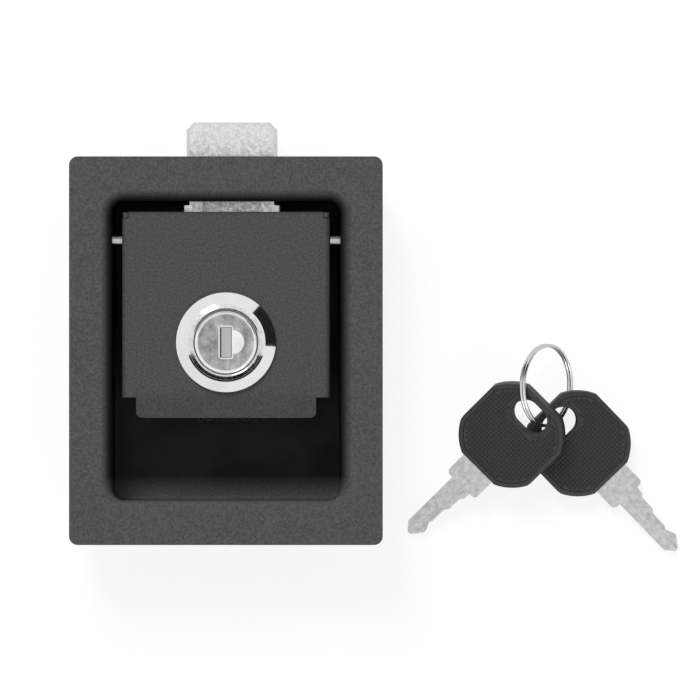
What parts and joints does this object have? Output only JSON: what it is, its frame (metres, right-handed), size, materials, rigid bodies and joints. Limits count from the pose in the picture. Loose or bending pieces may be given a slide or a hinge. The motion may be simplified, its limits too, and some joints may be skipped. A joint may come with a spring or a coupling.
{
  "type": "flush paddle latch",
  "caption": "Flush-mounted paddle latch with a key lock in the paddle, a spring slam bolt at the top and weld studs behind, with its keys on a split ring.",
  "frame": {"origin": "centre of the stud pattern on the flange's back face, which seats on the door skin", "axes": "+Z out of the latch's face towards the hand, +Y the way the bolt points, +X to the right of someone facing it; the latch lies on its back"},
  "size_m": [0.1756, 0.124, 0.0321],
  "materials": {
    "pan_coat": "fine textured black powder coat",
    "paddle_coat": "fine textured black powder coat",
    "stud_zinc": "zinc plated",
    "pin_steel": "bright drawn steel",
    "clip_steel": "dark oiled spring steel",
    "guide_zinc": "zinc plated sheet",
    "rivet_steel": "zinc plated",
    "lock_chrome": "polished chrome",
    "gasket_rubber": "matte",
    "plug_metal": "nickel plated brass",
    "cap_steel": "satin, with bright edge",
    "wafer_brass": "stamped",
    "shutter_steel": "stainless sheet",
    "bolt_zinc": "zinc plated cast metal",
    "spring_wire": "spring wire",
    "ring_steel": "nickel plated wire",
    "key_plastic": "moulded, with a fine grip pattern",
    "key_nickel": "nickel plated"
  },
  "bodies": {
    "latch": {"pan": "pan_coat", "mounting_studs": "stud_zinc", "hinge_pin": "pin_steel", "pin_clip": "clip_steel", "bolt_guide": "guide_zinc", "guide_rivets": "rivet_steel", "cam_keeper": "guide_zinc", "keeper_rivets": "rivet_steel", "paddle_spring_left": "spring_wire", "paddle_spring_right": "spring_wire", "bolt_spring_left": "spring_wire", "bolt_spring_right": "spring_wire"},
    "paddle": {"paddle": "paddle_coat", "lock_housing": "lock_chrome", "lock_gasket": "gasket_rubber", "lock_washer": "guide_zinc", "lock_nut": "guide_zinc"},
    "bolt": {"bolt": "bolt_zinc"},
    "lock_plug": {"plug": "plug_metal", "plug_cap": "cap_steel", "wafers": "wafer_brass", "lock_cam": "guide_zinc", "cam_screw": "rivet_steel"},
    "shutter": {"dust_shutter": "shutter_steel"},
    "key_set": {"key_ring": "ring_steel", "key_head_left": "key_plastic", "key_blade_left": "key_nickel", "key_head_right": "key_plastic", "key_blade_right": "key_nickel"}
  },
  "joints": [
    {"name": "paddle_hinge", "type": "hinge", "parent": "latch", "child": "paddle", "pos_m": [0, 0.0319, -0.0065], "axis": [-1, 0, 0], "range_deg": [0, 38], "stiffness_Nm_per_rad": 0.39, "springref_deg": -16.62, "deforming": ["paddle_spring_left", "paddle_spring_right"]},
    {"name": "bolt_slide", "type": "slide", "parent": "latch", "child": "bolt", "axis": [0, -1, 0], "range_m": [0, 0.01], "deforming": ["bolt_spring_left", "bolt_spring_right"]},
    {"name": "plug_turn", "type": "hinge", "parent": "paddle", "child": "lock_plug", "pos_m": [0, 0.0024, 0], "axis": [0, 0, -1], "range_deg": [0, 90]},
    {"name": "shutter_hinge", "type": "hinge", "parent": "lock_plug", "child": "shutter", "pos_m": [-0.00113, 0.0024, 0.00173], "axis": [0, 1, 0], "range_deg": [0, 78], "stiffness_Nm_per_rad": 0.0001, "springref_deg": -28.65},
    {"name": "keys_lift", "type": "slide", "parent": "latch", "child": "key_set", "axis": [0, 0, 1], "range_m": [0, 0.04]}
  ],
  "couplings": [
    {"joint": "bolt_slide", "follows": "paddle_hinge", "m_per_rad": 0.01507}
  ]
}
